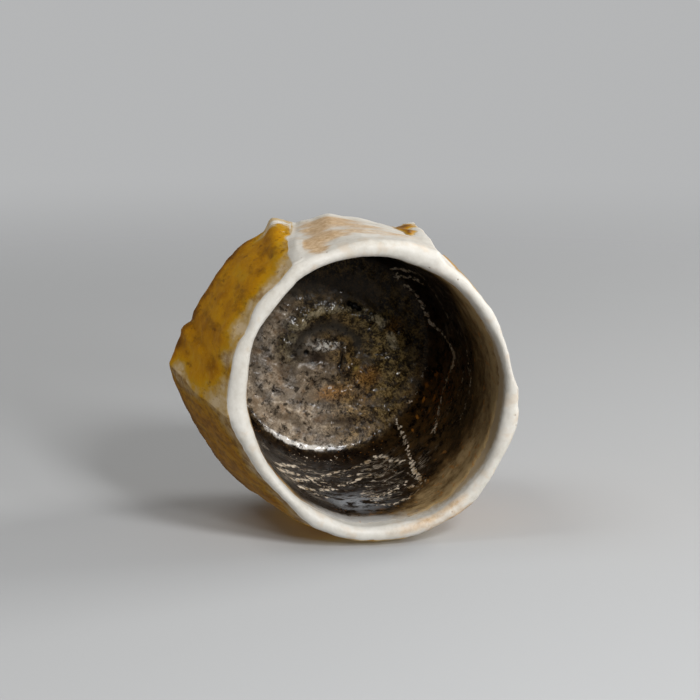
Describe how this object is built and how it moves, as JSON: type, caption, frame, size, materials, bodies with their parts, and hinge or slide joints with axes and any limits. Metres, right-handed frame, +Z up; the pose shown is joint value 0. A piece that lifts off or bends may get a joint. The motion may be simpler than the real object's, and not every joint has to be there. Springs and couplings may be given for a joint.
{
  "type": "guinomi sake cup",
  "caption": "Small hand-cut stoneware sake cup: knife-cut faces with pinched ridges, white slip, amber glaze outside, dark glazed well, ring foot.",
  "frame": {"origin": "middle of the foot on the table", "axes": "+Z up out of the mouth; the white face looks towards +X and -Y"},
  "size_m": [0.0614, 0.0626, 0.0504],
  "materials": {
    "bare_clay": "matte",
    "white_slip": "satin",
    "amber_glaze": "satin",
    "dark_glaze": "gloss"
  },
  "bodies": {
    "root": {"clay_body": "bare_clay", "foot_ring": "bare_clay", "white_slip": "white_slip", "amber_glaze": "amber_glaze", "dark_glaze": "dark_glaze"}
  },
  "joints": []
}
